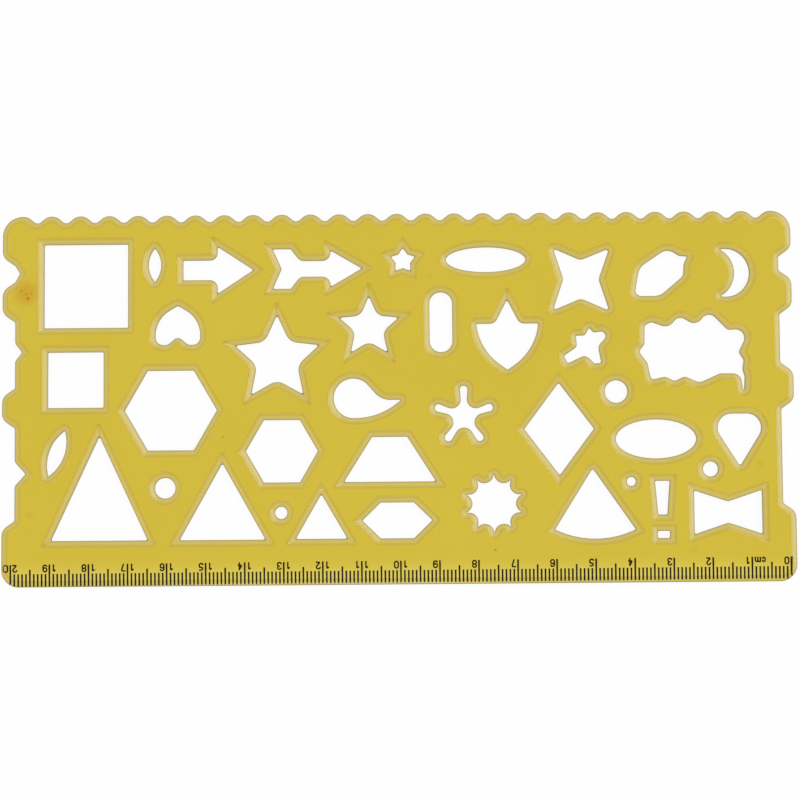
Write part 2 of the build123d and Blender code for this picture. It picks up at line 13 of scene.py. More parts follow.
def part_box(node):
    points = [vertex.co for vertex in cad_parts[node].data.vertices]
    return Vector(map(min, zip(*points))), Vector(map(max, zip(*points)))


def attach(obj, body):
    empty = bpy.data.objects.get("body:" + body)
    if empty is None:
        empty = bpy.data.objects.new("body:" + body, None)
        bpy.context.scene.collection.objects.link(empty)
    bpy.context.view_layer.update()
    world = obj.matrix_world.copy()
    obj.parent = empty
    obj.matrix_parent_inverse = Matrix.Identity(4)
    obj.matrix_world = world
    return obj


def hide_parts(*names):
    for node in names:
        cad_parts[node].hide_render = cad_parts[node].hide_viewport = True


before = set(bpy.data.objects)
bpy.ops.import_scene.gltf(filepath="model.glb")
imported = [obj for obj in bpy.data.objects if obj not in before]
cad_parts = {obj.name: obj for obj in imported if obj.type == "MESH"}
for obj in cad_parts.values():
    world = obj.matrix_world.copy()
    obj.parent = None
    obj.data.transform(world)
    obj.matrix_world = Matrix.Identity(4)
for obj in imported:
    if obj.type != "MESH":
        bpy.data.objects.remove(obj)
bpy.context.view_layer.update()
mm = 0.001


def put_in_scene(name, data):
    item = bpy.data.objects.new(name, data)
    bpy.context.scene.collection.objects.link(item)
    return item


# %% [markdown]
# ## The camera
# The stencil lies flat and is looked at from almost straight above, with a long lens. A flat thing
# doesn't show how far away the camera stood, so half a metre is assumed. Its place and three small
# turns then follow from the even spacing of the scale's ticks and from the plate's straight edges.

# %% Hang the camera over the stencil
camera_place = Vector((0.117, -33.704, 498.914)) * mm
camera_turns = (0.0664806, -0.000228, -0.0082427)
sensor_width = 36.0
lens_length = 87.3

camera_data = bpy.data.cameras.new("camera")
camera_data.sensor_width = sensor_width
camera_data.lens = lens_length
camera = put_in_scene("camera", camera_data)
camera.location = camera_place
camera.rotation_euler = camera_turns
bpy.context.scene.camera = camera
print("camera, mm above the table:", round(camera_place.z / mm, 1))

# %% [markdown]
# ## Rounded outlines
# A moulder's drawing gives a cut-out by its corners and by the rounding of each one. The plate needs
# every outline several times over: at the foot of the wall, up the slope and at the crease, each a
# little larger than the last. Curves with an offset could do that, but their points would not match
# from copy to copy. So each rounding is divided by its turn, which stays the same however far the
# outline moves. At a sharp corner of a cut-out the slopes of both sides meet in a keen ridge, so there
# the rounding grows by a small share only.

# %% Points of an outline, moved outwards by any amount
least_radius = 0.05
least_run = 0.002
arc_step = math.radians(6)
oval_fineness = 1.5
support_gap = 0.4
supported_run = 3 * support_gap
# a corner with a radius between these two is a sharp one, and grows by the share below
keen_radii = (0.25, 0.35)
rounding_share = 0.15


def fitted_corners(corners, radii):
    """Point, directions to both neighbours, half angle, radius that fits, and whether it bulges out."""
    points = [Vector(corner) for corner in corners]
    count = len(points)
    backs = [(points[i - 1] - points[i]).normalized() for i in range(count)]
    aheads = [(points[(i + 1) % count] - points[i]).normalized() for i in range(count)]
    halves = [backs[i].angle(aheads[i]) / 2 for i in range(count)]
    reaches = [radii[i] / math.tan(halves[i]) for i in range(count)]
    sides = [(points[(i + 1) % count] - points[i]).length for i in range(count)]
    fitted = []
    for i in range(count):
        before = reaches[i - 1] + reaches[i]
        after = reaches[i] + reaches[(i + 1) % count]
        fit = min(1, sides[i - 1] / before, sides[i] / after)
        bulges_out = backs[i].cross(aheads[i]) < 0
        fitted.append((points[i], backs[i], aheads[i], halves[i], radii[i] * fit, bulges_out))
    return fitted


def corner_points(corner, grow):
    """Points along one rounding, with the whole outline moved outwards by grow."""
    point, back, ahead, half, radius, bulges_out = corner
    inward = (back + ahead).normalized()
    outward = grow if bulges_out else -grow
    keen = outward > 0 and keen_radii[0] < radius < keen_radii[1]
    radius = max(radius + outward * (rounding_share if keen else 1), min(radius, least_radius))
    moved = point - inward * (outward / math.sin(half))
    centre = moved + inward * (radius / math.sin(half))
    spoke = moved + back * (radius / math.tan(half)) - centre
    turn = math.pi - 2 * half
    steps = max(2, math.ceil(turn / arc_step))
    sense = 1 if bulges_out else -1
    return [centre + Matrix.Rotation(sense * turn * k / steps, 2) @ spoke for k in range(steps + 1)]


def run_shares(start, end, levels):
    """Where a straight run has extra points: near both ends, and at the named levels."""
    length = (end - start).length
    shares = []
    if length > supported_run:
        shares += [support_gap / length, 1 - support_gap / length]
    rise = end.y - start.y
    if abs(rise) > least_run:
        shares += [(level - start.y) / rise for level in levels]
    return sorted(share for share in shares if 0 < share < 1)


def cornered_outline(corners, radii, levels=()):
    """A function of grow that gives the outline's points, counter-clockwise."""
    fitted = fitted_corners(corners, radii)
    count = len(fitted)
    drawn = [corner_points(corner, 0) for corner in fitted]
    runs = [(drawn[(i + 1) % count][0] - drawn[i][-1]).length > least_run for i in range(count)]
    shares = [run_shares(drawn[i][-1], drawn[(i + 1) % count][0], levels) for i in range(count)]

    def points(grow):
        arcs = [corner_points(corner, grow) for corner in fitted]
        ring = []
        for i in range(count):
            ring += arcs[i] if runs[i] else arcs[i][:-1]
            if runs[i]:
                ring += [arcs[i][-1].lerp(arcs[(i + 1) % count][0], share) for share in shares[i]]
        return ring

    return points


def oval_outline(length, height):
    """The same for an ellipse or a circle."""
    count = round(math.tau / arc_step * oval_fineness)

    def points(grow):
        return [Vector(((length / 2 + grow) * math.cos(math.tau * k / count),
                        (height / 2 + grow) * math.sin(math.tau * k / count))) for k in range(count)]

    return points


# %% [markdown]
# ## The plate's rim
# The long top edge is a row of scallops for drawing clouds and waves, both ends are stepped into tabs,
# and the left end has three small V notches for holding a pencil point. All of it is one outline of
# rounded corners, so that the slope that runs round the rim is made exactly as it is round a cut-out.

# %% The rim as one outline
plate_length = 203.8
plate_height = 95.6
plate_thickness = 1.6
rim_thickness = 0.8
bevel_width = 1.6
half_length = plate_length / 2
half_height = plate_height / 2

ruler_slope_width = 6.0
bottom_corner_radius = 4.5
top_corner_radius = 5.25

scallop_count = 27
scallop_flank = math.radians(40)
crest_radius = 3.1
trough_radius = 1.4

tab_depth = 3.3
tab_ramp_height = 2.3
tab_corner_radius = 3.0
step_corner_radius = 0.8
left_tab_shares = ((-0.347, 1), (-0.05, -1), (0.01, 1), (0.236, -1), (0.298, 1), (0.389, -1))
right_tab_shares = ((-0.315, 1), (-0.014, -1), (0.063, 1), (0.242, -1), (0.313, 1), (0.399, -1))

notch_mouth_radius = 1.5
notch_root_radius = 0.3
# height as a share, width of the mouth, and depth
lower_notch = (-0.197, 6.2, 2.8)
middle_notch = (0.131, 4.6, 1.75)
upper_notch_share = 0.345
upper_notch_depth = 1.15


def tab_corners(side, level_shares):
    """The two corners of each tab's ramp, going up. Direction 1 is a tab's top, -1 its foot."""
    corners = []
    for share, direction in level_shares:
        level = plate_height * share
        outer = (side * half_length, level, tab_corner_radius)
        inner = (side * (half_length - tab_depth), level + direction * tab_ramp_height,
                 step_corner_radius)
        corners += [outer, inner] if direction > 0 else [inner, outer]
    return corners


def notch_corners(level_share, width, depth):
    """Mouth, root and mouth of a V notch in the left end, going up."""
    level = plate_height * level_share
    mouth = tab_depth - half_length
    return [(mouth, level - width / 2, notch_mouth_radius),
            (mouth + depth, level, notch_root_radius),
            (mouth, level + width / 2, notch_mouth_radius)]


def scallop_corners():
    """The wavy edge from right to left: roots and crests of the straight flanks."""
    span = plate_length - 2 * top_corner_radius
    half_pitch = span / (scallop_count - 1) / 2
    crest_level = half_height + crest_radius * (1 / math.cos(scallop_flank) - 1)
    trough_level = crest_level - half_pitch * math.tan(scallop_flank)
    end_shift = crest_radius * math.tan(scallop_flank / 2)
    corners = [(span / 2 - end_shift, half_height, crest_radius)]
    for i in range(1, 2 * scallop_count - 2):
        x = span / 2 - half_pitch * i
        corners.append((x, trough_level, trough_radius) if i % 2 else (x, crest_level, crest_radius))
    corners.append((end_shift - span / 2, half_height, crest_radius))
    return corners


def rim_corners():
    """The plate's outline, counter-clockwise from its lower left corner."""
    tabs = tab_corners(-1, left_tab_shares)
    upper_notch = (tab_depth + upper_notch_depth - half_length,
                   plate_height * upper_notch_share, notch_root_radius)
    left = [*tabs[:2], *notch_corners(*lower_notch), *tabs[2:6], *notch_corners(*middle_notch),
            *tabs[6:10], upper_notch, *tabs[10:]]
    return [(-half_length, -half_height, bottom_corner_radius),
            (half_length, -half_height, bottom_corner_radius),
            *tab_corners(1, right_tab_shares), (half_length, half_height, top_corner_radius),
            *scallop_corners(), (-half_length, half_height, top_corner_radius), *left[::-1]]


rim = rim_corners()
print("rim corners:", len(rim))

# %% [markdown]
# ## Straight-sided cut-outs
# Squares, hexagons, triangles and arrows are drawn from a few sizes each. The cutter that made the
# mould left a small rounding in every sharp corner. From there a ridge runs up to the crease, where the
# slopes of the two sides meet.

# %% Shapes with straight sides
sharp_corner_radius = 0.3


def sharp(corners):
    """Corners that all have the small rounding of a sharp corner."""
    return corners, [sharp_corner_radius] * len(corners)


def regular(radius, sides):
    """Corners of a regular form, the first one at +X."""
    return [(radius * math.cos(math.tau * i / sides), radius * math.sin(math.tau * i / sides))
            for i in range(sides)]


def triangle(base, height):
    return [(-base / 2, -height / 2), (base / 2, -height / 2), (0, height / 2)]


def tapering_box(foot, top, height):
    return [(-foot / 2, -height / 2), (foot / 2, -height / 2),
            (top / 2, height / 2), (-top / 2, height / 2)]


def box(length, height):
    return tapering_box(length, length, height)


def flat_hexagon(length, height, top):
    return [(-length / 2, 0), (-top / 2, -height / 2), (top / 2, -height / 2),
            (length / 2, 0), (top / 2, height / 2), (-top / 2, height / 2)]


def diamond(width, height):
    return [(-width / 2, 0), (0, -height / 2), (width / 2, 0), (0, height / 2)]


def bow(length, height, waist, waist_radius):
    corners = [(-length / 2, -height / 2), (0, -waist / 2), (length / 2, -height / 2),
               (length / 2, height / 2), (0, waist / 2), (-length / 2, height / 2)]
    return corners, [sharp_corner_radius, waist_radius, sharp_corner_radius] * 2


def arrow(length, head_length, head_height, shaft_height, armpit_radius):
    tip = length / 2
    neck = tip - head_length
    head = head_height / 2
    shaft = shaft_height / 2
    corners = [(-tip, -shaft), (neck, -shaft), (neck, -head), (tip, 0),
               (neck, head), (neck, shaft), (-tip, shaft)]
    radii = [sharp_corner_radius] * len(corners)
    radii[1] = radii[5] = armpit_radius
    return corners, radii


def dart(length, head_length, head_height, shaft_height, tail_length, tail_height):
    """The arrow with a notched tail."""
    tail_ramp = 2.4
    notch_depth = 2.3
    armpit_radius = 2.2
    tip = length / 2
    neck = tip - head_length
    head = head_height / 2
    shaft = shaft_height / 2
    tail = tail_height / 2
    tail_front = tail_length - tip
    corners = [(notch_depth - tip, 0), (-tip, -tail), (tail_front, -tail),
               (tail_front + tail_ramp, -shaft), (neck, -shaft), (neck, -head), (tip, 0),
               (neck, head), (neck, shaft), (tail_front + tail_ramp, shaft),
               (tail_front, tail), (-tip, tail)]
    radii = [sharp_corner_radius] * len(corners)
    radii[3] = radii[4] = radii[8] = radii[9] = armpit_radius
    return corners, radii


# %% [markdown]
# ## Stars, splash, crescent and lenses
# These follow a rule as well: a star is tips and waists in turn about a middle, and its sides curve in
# because each waist has a wide rounding. The crescent is two circles, whose long arcs are divided into
# a few roundings that share one centre, and a lens is two equal arcs that meet in points.

# %% Shapes about a middle
def star(tips, tip, waist, tip_radius, waist_radius):
    """A star with its first tip at +Y."""
    corners = []
    for i in range(tips):
        tip_angle = math.pi / 2 + math.tau * i / tips
        waist_angle = tip_angle + math.pi / tips
        corners.append((tip * math.cos(tip_angle), tip * math.sin(tip_angle)))
        corners.append((waist * math.cos(waist_angle), waist * math.sin(waist_angle)))
    return corners, [tip_radius, waist_radius] * tips


def splash(arms, reach, arm_width, arm_end_radius, waist, waist_radius):
    """Arms with round ends, and round bays between them."""
    corners = []
    for i in range(arms):
        along = math.pi / 2 + math.tau * i / arms
        bay = along - math.pi / arms
        corners.append((waist * math.cos(bay), waist * math.sin(bay)))
        for across in (-arm_width / 2, arm_width / 2):
            corners.append((reach * math.cos(along) - across * math.sin(along),
                            reach * math.sin(along) + across * math.cos(along)))
    return corners, [waist_radius, arm_end_radius, arm_end_radius] * arms


def round_run(centre_x, radius, start, end):
    """Corners, each with the same radius, whose roundings follow one round about a centre on X."""
    pieces = 3
    step = (end - start) / pieces
    reach = radius / math.cos(step / 2)
    angles = [start + step * (i + 0.5) for i in range(pieces)]
    return [(centre_x + reach * math.cos(angle), reach * math.sin(angle)) for angle in angles]


def crescent(outer_radius, inner_radius, shift):
    """The outer round run upwards, then the inner round back down to the lower horn."""
    horn_x = (outer_radius ** 2 - inner_radius ** 2 + shift ** 2) / (-2 * shift)
    horn_y = math.sqrt(outer_radius ** 2 - horn_x ** 2)
    outer_end = math.atan2(horn_y, horn_x)
    inner_end = math.atan2(horn_y, horn_x + shift)
    outer = round_run(0, outer_radius, -outer_end, outer_end)
    inner = round_run(-shift, inner_radius, inner_end, -inner_end)
    corners = [(horn_x, -horn_y)] + outer + [(horn_x, horn_y)] + inner
    radii = [least_radius] + [outer_radius] * 3 + [least_radius] + [inner_radius] * 3
    return corners, radii


def lens(width, length, degrees):
    """Two equal rounds that meet in a point at each end, leaning by an angle."""
    lean = math.radians(degrees)
    upright = [(0, -length / 2), (width, 0), (0, length / 2), (-width, 0)]
    corners = [(x * math.cos(lean) + y * math.sin(lean), y * math.cos(lean) - x * math.sin(lean))
               for x, y in upright]
    side_radius = (width ** 2 + length ** 2) / (4 * width)
    return corners, [least_radius, side_radius, least_radius, side_radius]


# %% [markdown]
# ## Free shapes
# The heart, the leaf, the speech bubble and their like follow no rule, so each is a short list of
# rounded corners. The numbers are shares: x of the shape's length, y of its height, and the rounding
# as a share of its length, so that a shape keeps its look if it is made larger.

# %% Shapes listed corner by corner
heart_shares = (
    (0, 0.5, 0.05), (-0.5, 0.17, 0.64), (-0.5, -0.5, 0.17), (-0.235, -0.5, 0.15),
    (0, -0.28, 0.13), (0.235, -0.5, 0.15), (0.5, -0.5, 0.17), (0.5, 0.17, 0.64))
comma_shares = (
    (0.5, -0.044, 0.01), (0.199, -0.049, 0.305), (-0.08, 0.5, 0.293),
    (-0.5, 0.5, 0.293), (-0.5, -0.5, 0.293), (0.161, -0.5, 0.98))
shield_shares = (
    (0, 0.5, 0.02), (-0.2, 0.157, 0.13), (-0.5, 0.157, 0.025), (-0.446, -0.236, 0.97),
    (0, -0.5, 0.025), (0.446, -0.236, 0.97), (0.5, 0.157, 0.025), (0.2, 0.157, 0.13))
leaf_shares = (
    (0.5, 0.356, 0.015), (0.357, 0.364, 0.11), (0.13, 0.53, 0.22), (-0.4, 0.12, 0.3),
    (-0.5, -0.5, 0.11), (-0.02, -0.498, 0.29), (0.418, -0.067, 0.145), (0.436, 0.209, 0.11))
splat_shares = (
    (0.6, 0.44, 0.1), (0.168, 0.36, 0.09), (0.073, 0.5, 0.017), (-0.022, 0.284, 0.07),
    (-0.224, 0.278, 0.017), (-0.203, -0.035, 0.1), (-0.5, -0.289, 0.05), (-0.41, -0.495, 0.05),
    (-0.013, -0.257, 0.155), (0.177, -0.5, 0.043), (0.336, -0.495, 0.05), (0.263, -0.019, 0.17))
bubble_shares = (
    (0.457, -0.56, 0.007), (0.468, -0.31, 0.09), (0.447, -0.214, 0.09), (0.463, -0.105, 0.046),
    (0.415, -0.01, 0.046), (0.525, 0.284, 0.078), (0.322, 0.264, 0.057), (0.148, 0.5, 0.075),
    (0.03, 0.324, 0.085), (-0.126, 0.443, 0.068), (-0.226, 0.295, 0.093), (-0.383, 0.371, 0.053),
    (-0.443, 0.325, 0.036), (-0.447, 0.095, 0.036), (-0.5, 0.005, 0.036), (-0.422, -0.133, 0.053),
    (-0.39, -0.343, 0.032), (-0.262, -0.302, 0.071), (-0.176, -0.36, 0.046), (-0.084, -0.3, 0.064),
    (0.052, -0.383, 0.09), (0.24, -0.269, 0.09), (0.429, -0.271, 0.078))
four_star_shares = (
    (0.5, 0.487, 0.03), (0, 0.305, 0.17), (-0.48, 0.5, 0.03), (-0.304, 0.01, 0.17),
    (-0.49, -0.484, 0.03), (0, -0.3, 0.17), (0.49, -0.5, 0.03), (0.31, 0, 0.17))
sector_shares = (
    (-0.025, 0.5, 0.02), (-0.5, -0.367, 0.015), (0, -0.635, 1.18), (0.5, -0.373, 0.015))
plectrum_shares = (
    (-0.5, 0.5, 0.212), (0, -0.5, 0.03), (0.5, 0.5, 0.212))


def drawn_from(length, height, shares):
    """Corners and radii from shares."""
    corners = [(length * x, height * y) for x, y, radius in shares]
    return corners, [length * radius for x, y, radius in shares]


# %% [markdown]
# ## Where the cut-outs lie
# Each cut-out has its shape in real sizes and its place as shares of the plate's length and height,
# counted from the middle of the plate.

# %% The forty cut-outs
slot_width = 5.85
cornered = {
    "big_square": (sharp(box(21.6, 21.6)), (-0.394, 0.309)),
    "small_square": (sharp(box(14.3, 14.3)), (-0.407, 0.055)),
    "large_hexagon": (sharp(regular(11.85, 6)), (-0.287, -0.029)),
    "middle_hexagon": (sharp(regular(9.25, 6)), (-0.147, -0.141)),
    "flat_hexagon": (sharp(flat_hexagon(17.9, 9.15, 8.5)), (-0.002, -0.329)),
    "large_triangle": (sharp(triangle(24.8, 26.75)), (-0.377, -0.237)),
    "middle_triangle": (sharp(triangle(22.0, 19.6)), (-0.222, -0.275)),
    "small_triangle": (sharp(triangle(13.2, 11.4)), (-0.0975, -0.317)),
    "diamond": (sharp(diamond(17.9, 23.8)), (0.203, -0.087)),
    "trapezoid": (sharp(tapering_box(23.6, 9.0, 11.5)), (-0.011, -0.165)),
    "mark_bar": (sharp(tapering_box(2.35, 3.75, 8.6)), (0.332, -0.274)),
    "mark_dot": (sharp(box(3.1, 1.8)), (0.333, -0.3725)),
    "bow": (bow(17.4, 11.2, 5.4, 1.8), (0.4145, -0.314)),
    "arrow": (arrow(18.1, 9.25, 12.2, 5.1, 2.0), (-0.2265, 0.35)),
    "dart": (dart(23.0, 8.1, 9.4, 4.1, 4.6, 10.3), (-0.101, 0.352)),
    "slot": ((box(slot_width, 15.5), [slot_width / 2] * 4), (0.055, 0.204)),
    "upright_lens": (lens(3.25, 8.7, 0), (-0.307, 0.365)),
    "leaning_lens": (lens(4.0, 12.5, 20), (-0.431, -0.143)),
    "crescent": (crescent(6.2, 6.9, 4.55), (0.416, 0.332)),
    "big_star": (star(5, 11.35, 5.45, sharp_corner_radius, 3.5), (-0.1525, 0.108)),
    "middle_star": (star(5, 8.05, 3.7, sharp_corner_radius, 3.0), (-0.036, 0.192)),
    "small_star": (star(5, 3.3, 1.95, sharp_corner_radius, sharp_corner_radius), (0.0075, 0.3725)),
    "ray_star": (star(10, 7.85, 2.7, 0.1, 2.4), (0.12, -0.286)),
    "splash": (splash(5, 7.8, 2.1, 1.0, 0.8, 2.36), (0.083, -0.05)),
    "heart": (drawn_from(11.5, 10.1, heart_shares), (-0.278, 0.201)),
    "comma": (drawn_from(17.4, 10.2, comma_shares), (-0.0385, 0)),
    "shield": (drawn_from(16.0, 18.1, shield_shares), (0.139, 0.169)),
    "leaf": (drawn_from(13.8, 11.95, leaf_shares), (0.3345, 0.333)),
    "splat": (drawn_from(11.6, 9.25, splat_shares), (0.2385, 0.1375)),
    "bubble": (drawn_from(28.1, 21.0, bubble_shares), (0.374, 0.1185)),
    "four_star": (drawn_from(14.8, 16.4, four_star_shares), (0.233, 0.317)),
    "sector": (drawn_from(20.7, 18.0, sector_shares), (0.247, -0.288)),
    "plectrum": (drawn_from(17.0, 13.55, plectrum_shares), (0.4305, -0.1205)),
}
ovals = {
    "large_hole": (5.8, 5.8, (0.2755, 0.0125)),
    "middle_hole": (5.25, 5.25, (-0.294, -0.238)),
    "small_hole": (3.85, 3.85, (0.393, -0.198)),
    "fine_hole": (3.1, 3.1, (-0.148, -0.3065)),
    "finest_hole": (2.3, 2.3, (0.293, -0.23)),
    "flat_ellipse": (20.5, 6.45, (0.1125, 0.373)),
    "ellipse": (20.65, 10.0, (0.325, -0.116)),
}
cut_outs = {name: (cornered_outline(*shape), place) for name, (shape, place) in cornered.items()}
cut_outs |= {name: (oval_outline(length, height), place)
             for name, (length, height, place) in ovals.items()}
print("cut-outs:", len(cut_outs))

# %% [markdown]
# ## The section of every edge
# Cut the real plate through and each edge looks the same: a small bottom rounding, a straight wall half
# the plate's thickness high, then a slope up to the flat top, with a soft crease where they meet. The
# section is a list of steps, each with its distance in from the outline and its height. Two marks go
# with each step, which the plastic's material reads: one paints a dark line of shade along the cut
# wall, and one paints shade along the crease.

# %% The section as rings
underside = 0.02
foot_round = 0.10
wall_round = 0.12
crease_spread = 0.14
flat_margin = 0.15
upright_wall_shade = 0.15
# share of the foot's rounding, and painted wall shade
foot_margin = ((3, 0), (1.5, 1))
# degrees round the foot, and painted wall shade
foot_turn = ((90, 1), (60, 0.6), (30, 0.3), (0, upright_wall_shade))
# the wall's top edge rises and starts by these shares of its rounding
turn_height = 1.4
turn_drop = 1.15
# share of the way round the wall's top edge, and painted wall shade
wall_turn = ((0.15, 0.3), (0.45, 0.8), (0.8, 1))
# inset, painted crease shade and painted wall shade of each step up the slope
slope_steps = ((0.2, 0.7, 1), (0.4, 0.7, 0.65), (0.8, 0.7, 0), (1.15, 0.9, 0))
# share of half the crease's width, and painted crease shade
crease_steps = ((-1, 0.9), (-0.6, 0.9), (-0.2, 0.75), (0.2, 0.55), (0.6, 0.35), (1, 0.2))
slope_rise = (plate_thickness - rim_thickness) / bevel_width


def crease_height(inset):
    """Height of the slope, eased into the flat top on both sides of the crease."""
    past = inset - (bevel_width - crease_spread)
    if past <= 0:
        return rim_thickness + slope_rise * inset
    rest = max(2 * crease_spread - past, 0)
    return plate_thickness - slope_rise * rest ** 2 / (4 * crease_spread)


section = [(foot_round * share, underside, 0, wall) for share, wall in foot_margin]
for degrees, wall in foot_turn:
    angle = math.radians(degrees)
    section.append((foot_round * (1 - math.cos(angle)),
                    underside + foot_round * (1 - math.sin(angle)), 0, wall))
section.append((0, rim_thickness - wall_round * turn_height, 0, upright_wall_shade))
for share, wall in wall_turn:
    section.append((wall_round * share ** 2,
                    rim_thickness + wall_round * (turn_height * share - turn_drop), 0, wall))
for inset, crease_darkening, wall in slope_steps:
    section.append((inset, crease_height(inset), crease_darkening, wall))
for share, crease_darkening in crease_steps:
    inset = bevel_width + crease_spread * share
    section.append((inset, crease_height(inset), crease_darkening, 0))
section.append((bevel_width + crease_spread + flat_margin, plate_thickness, 0, 0))
print("steps in the section:", len(section))

# %% [markdown]
# ## The plate
# The plate could be cut with booleans, but forty cutters leave ragged triangles at the edges that show
# most. Here it is built ring by ring instead: each step of the section is one ring of points round an
# outline, neighbouring rings are joined by four-sided faces, and the flat top and underside are filled
# with triangles. A triangle of the filling that lies in a cut-out is left out. Along the ruler edge the
# top sinks to a gentle slope: each point takes the lower of the section and that slope, blended softly,
# and a few narrow rows of faces follow the blend from end to end.

# %% Build the plate
ruler_blend = 0.2
row_step = 0.25
fill_slack = 0.000001
inside_only = 1    # the filling's kind: only triangles within the closed runs
rim_number = 0     # the rim's own number; the cut-outs count on from it
ruler_rise = (plate_thickness - rim_thickness) / ruler_slope_width
slope_end = ruler_slope_width - half_height
blend_reach = ruler_blend / ruler_rise
row_count = round(2 * blend_reach / row_step) + 2
row_levels = [slope_end - blend_reach + row_step * i for i in range(row_count + 1)]


def top_height(height, y):
    """The lower of a height and the ruler's slope, blended where they meet."""
    ruler = rim_thickness + ruler_rise * (y + half_height)
    overlap = max(ruler_blend - abs(height - ruler), 0) / ruler_blend
    return min(height, ruler) - overlap ** 2 * ruler_blend / 4


class PlateMesh:
    """The plate's mesh while its rings are added to it."""

    def __init__(self):
        self.bm = bmesh.new()
        # two marks that paint shade into the colour: one along the cut wall, one along the crease
        self.painted_wall_shade_mark = self.bm.verts.layers.float.new("painted_wall_shade_mark")
        self.painted_crease_shade_mark = self.bm.verts.layers.float.new("painted_crease_shade_mark")
        self.top_edges = []
        self.bottom_edges = []
        self.spots = {}

    def ring(self, points, height, wall, crease):
        made = []
        for point in points:
            level = top_height(height, point.y)
            vert = self.bm.verts.new(Vector((point.x, point.y, level)) * mm)
            vert[self.painted_wall_shade_mark] = wall
            vert[self.painted_crease_shade_mark] = crease
            made.append(vert)
        return made

    def join(self, lower, upper, outward):
        count = len(lower)
        for i in range(count):
            j = (i + 1) % count
            corners = [lower[i], lower[j], upper[j], upper[i]]
            self.bm.faces.new(corners if outward else corners[::-1])

    def loop_edges(self, ring):
        return [self.bm.edges.get((ring[i - 1], ring[i])) for i in range(len(ring))]

    def edge(self, outline, place, number):
        """All rings of one edge. The rim has its wall facing outwards, a cut-out has it inwards."""
        outward = number == rim_number
        rings = []
        for inset, height, crease, wall in section:
            grow = -inset if outward else inset
            points = [point + place for point in outline(grow)]
            rings.append(self.ring(points, height, wall, crease))
        for lower, upper in zip(rings, rings[1:]):
            self.join(lower, upper, outward)
        for ring in (rings[0], rings[-1]):
            self.spots |= {vert: (number, i) for i, vert in enumerate(ring)}
        self.bottom_edges += self.loop_edges(rings[0])
        return rings[-1]


def in_hole(plate, corners):
    """A triangle inside a cut-out has its corners in the order of the cut-out's own ring."""
    rings = {plate.spots[corner][0] for corner in corners}
    if len(rings) > 1 or rim_number in rings:
        return False
    a, b, c = (plate.spots[corner][1] for corner in corners)
    return a < b < c or b < c < a or c < a < b


def fill(plate, edges, upward):
    """Fill the level between closed runs of edges with triangles, and leave the cut-outs open."""
    verts = list({vert: None for edge in edges for vert in edge.verts})
    places = {vert: i for i, vert in enumerate(verts)}
    points = [Vector((vert.co.x, vert.co.y)) / mm for vert in verts]
    ties = [tuple(places[vert] for vert in edge.verts) for edge in edges]
    filled = geometry.delaunay_2d_cdt(points, ties, [], inside_only, fill_slack)
    sources = [verts[source[0]] for source in filled[3]]
    for triangle in filled[2]:
        corners = [sources[i] for i in triangle]
        if not in_hole(plate, corners):
            plate.bm.faces.new(corners if upward else corners[::-1])


def end_run(ring, side, low, high):
    """The ring's points at one end of the plate between two levels, going up."""
    run = [vert for vert in ring
           if vert.co.x * side > 0 and low - least_run <= vert.co.y / mm <= high + least_run]
    return sorted(run, key=lambda vert: vert.co.y)


def rim_edges(plate, ring, level, side):
    """The rim's edges above a level (side 1) or below it (side -1), and the edge that closes them."""
    slack = least_run * mm
    found = [edge for edge in plate.loop_edges(ring)
             if all((vert.co.y - level * mm) * side > -slack for vert in edge.verts)]
    ends = [vert for vert in ring if abs(vert.co.y / mm - level) < least_run]
    return found + [plate.bm.edges.get(ends)]


def build_plate():
    plate = PlateMesh()
    rim_outline = cornered_outline([(x, y) for x, y, radius in rim], [radius for x, y, radius in rim],
                                   row_levels)
    rim_ring = plate.edge(rim_outline, Vector((0, 0)), rim_number)
    for number, (outline, (x_share, y_share)) in enumerate(cut_outs.values(), rim_number + 1):
        place = Vector((plate_length * x_share, plate_height * y_share))
        plate.top_edges += plate.loop_edges(plate.edge(outline, place, number))
    for low, high in zip(row_levels, row_levels[1:]):
        plate.bm.faces.new(end_run(rim_ring, 1, low, high) + end_run(rim_ring, -1, low, high)[::-1])
    plate.top_edges += rim_edges(plate, rim_ring, row_levels[-1], 1)
    ruler_edges = rim_edges(plate, rim_ring, row_levels[0], -1)
    fill(plate, ruler_edges, True)
    fill(plate, plate.top_edges, True)
    fill(plate, plate.bottom_edges, False)
    return plate.bm


plate_bm = build_plate()
loose = sum(1 for edge in plate_bm.edges if len(edge.link_faces) != 2)
inward = plate_bm.calc_volume(signed=True) < 0
print("plate: faces", len(plate_bm.faces), "open edges", loose, "inside out", inward,
      "volume mm3", round(plate_bm.calc_volume() / mm ** 3))
plate_mesh = bpy.data.meshes.new("stencil_plate_clear")
plate_bm.to_mesh(plate_mesh)
plate_bm.free()
plate_mesh.polygons.foreach_set("use_smooth", [True] * len(plate_mesh.polygons))
plate = put_in_scene("stencil_plate_clear", plate_mesh)

# %% [markdown]
# ## Node helpers
# A few short functions keep the materials readable: they add a node and set its sockets, join two
# sockets, put one node after another, and mix two colours.

# %% Add and join nodes
# the colour mix has its sockets at these places
mix_from, mix_to, mix_result = 6, 7, 2


def add(tree, kind, values=None, **settings):
    """A node of one kind, with its properties and socket values set."""
    node = tree.nodes.new(kind)
    for key, value in settings.items():
        setattr(node, key, value)
    for key, value in (values or {}).items():
        node.inputs[key].default_value = value
    return node


def new_material(name):
    """A material with only its output node, and its node tree."""
    material = bpy.data.materials.new(name)
    material.use_nodes = True
    tree = material.node_tree
    tree.nodes.clear()
    return material, tree, add(tree, "ShaderNodeOutputMaterial")


def join(source, output, target, socket):
    source.id_data.links.new(source.outputs[output], target.inputs[socket])


def after(source, output, kind, values=None, **settings):
    """A node that takes an earlier node's output in its first socket."""
    node = add(source.id_data, kind, values, **settings)
    join(source, output, node, 0)
    return node


